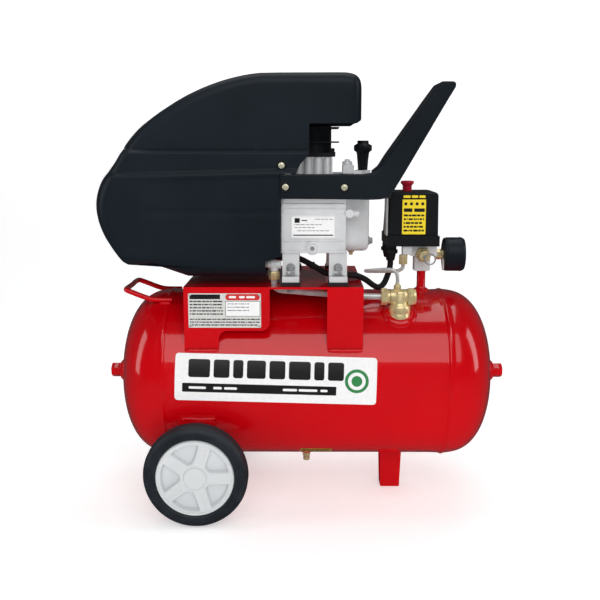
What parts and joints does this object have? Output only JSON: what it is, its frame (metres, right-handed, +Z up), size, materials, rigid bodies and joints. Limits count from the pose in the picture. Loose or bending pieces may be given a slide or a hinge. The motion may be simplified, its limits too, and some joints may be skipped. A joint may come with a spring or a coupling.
{
  "type": "hotdog air compressor",
  "caption": "Direct-drive piston air compressor on a horizontal cylindrical receiver with wheels, a foot and a carrying handle.",
  "frame": {"origin": "floor under the middle of the whole unit's box", "axes": "+X along the receiver from the motor end to the gauge end, +Y away from the operator's side, +Z up"},
  "size_m": [0.6022, 0.32, 0.619],
  "materials": {
    "red_paint": "bright red gloss enamel over steel",
    "shroud_plastic": "blue-black moulded plastic with a fine grain",
    "black_plastic": "black moulded plastic",
    "hub_plastic": "light grey moulded plastic",
    "rubber": "black vibration mounts",
    "tyre_rubber": "solid black tyre",
    "cast_aluminium": "die-cast, lightly blasted",
    "aluminium": "drawn or machined aluminium",
    "brass": "turned brass",
    "steel": "ground steel",
    "black_iron": "black-coated finned iron",
    "knob_plastic": "crimson moulded knob",
    "needle_paint": "thin red pointer",
    "lens": "clear gauge window"
  },
  "bodies": {
    "root": {"tank_barrel": "red_paint", "tank_dome_left": "red_paint", "tank_dome_right": "red_paint", "plug_left": "red_paint", "plug_right": "red_paint", "tank_handle": "red_paint", "motor_platform": "red_paint", "foot_bracket": "red_paint", "riser_pipe": "red_paint", "axle_bracket_front": "red_paint", "axle_bracket_rear": "red_paint", "shroud_lower": "shroud_plastic", "shroud_upper": "shroud_plastic", "carrying_handle": "black_plastic", "capacitor": "black_plastic", "breather_cap": "black_plastic", "switch_cover": "black_plastic", "switch_base": "black_plastic", "gland_motor": "black_plastic", "gland_mains": "black_plastic", "motor_lead": "black_plastic", "gauge_case": "black_plastic", "rubber_mount_1": "rubber", "rubber_mount_2": "rubber", "rubber_mount_3": "rubber", "rubber_mount_4": "rubber", "crankcase": "cast_aluminium", "crankcase_cover": "cast_aluminium", "cylinder_head": "cast_aluminium", "end_bell": "cast_aluminium", "manifold": "cast_aluminium", "connecting_rod": "aluminium", "piston": "aluminium", "discharge_tube": "aluminium", "bleed_tube": "aluminium", "discharge_elbow": "aluminium", "head_pipe": "aluminium", "drain_body": "brass", "check_valve_body": "brass", "check_valve_cap": "brass", "inlet_nut": "brass", "unloader_valve": "brass", "relief_valve_body": "brass", "gauge_stem": "brass", "bearing_drive": "steel", "bearing_fan": "steel", "stator_core": "steel", "cylinder": "black_iron", "gauge_lens": "lens"},
    "wheel_front": {"tyre_front": "tyre_rubber", "hub_front": "hub_plastic"},
    "wheel_rear": {"tyre_rear": "tyre_rubber", "hub_rear": "hub_plastic"},
    "rotor": {"crankshaft": "steel", "rotor_core": "steel", "cooling_fan": "black_plastic"},
    "knob": {"switch_knob": "knob_plastic"},
    "drain": {"drain_screw": "brass"},
    "relief": {"relief_ring": "steel"},
    "needle": {"gauge_needle": "needle_paint"}
  },
  "joints": [
    {"name": "front_wheel_spin", "type": "hinge", "parent": "root", "child": "wheel_front", "pos_m": [-0.14851, -0.143, 0.0725], "axis": [0, 1, 0], "continuous": true},
    {"name": "rear_wheel_spin", "type": "hinge", "parent": "root", "child": "wheel_rear", "pos_m": [-0.14851, 0.143, 0.0725], "axis": [0, 1, 0], "continuous": true},
    {"name": "rotor_spin", "type": "hinge", "parent": "root", "child": "rotor", "pos_m": [0.00449, 0, 0.4195], "axis": [1, 0, 0], "continuous": true},
    {"name": "knob_press", "type": "slide", "parent": "root", "child": "knob", "axis": [0, 0, 1], "range_m": [-0.006, 0]},
    {"name": "drain_turn", "type": "hinge", "parent": "root", "child": "drain", "pos_m": [0.00449, 0, 0.0465], "axis": [0, 0, 1], "range_deg": [0, 270]},
    {"name": "relief_pull", "type": "slide", "parent": "root", "child": "relief", "axis": [0, -1, 0], "range_m": [0, 0.003], "stiffness_N_per_m": 2000},
    {"name": "needle_sweep", "type": "hinge", "parent": "root", "child": "needle", "pos_m": [0.21609, 0, 0.362], "axis": [-1, 0, 0], "range_deg": [0, 270], "stiffness_Nm_per_rad": 0.002}
  ]
}
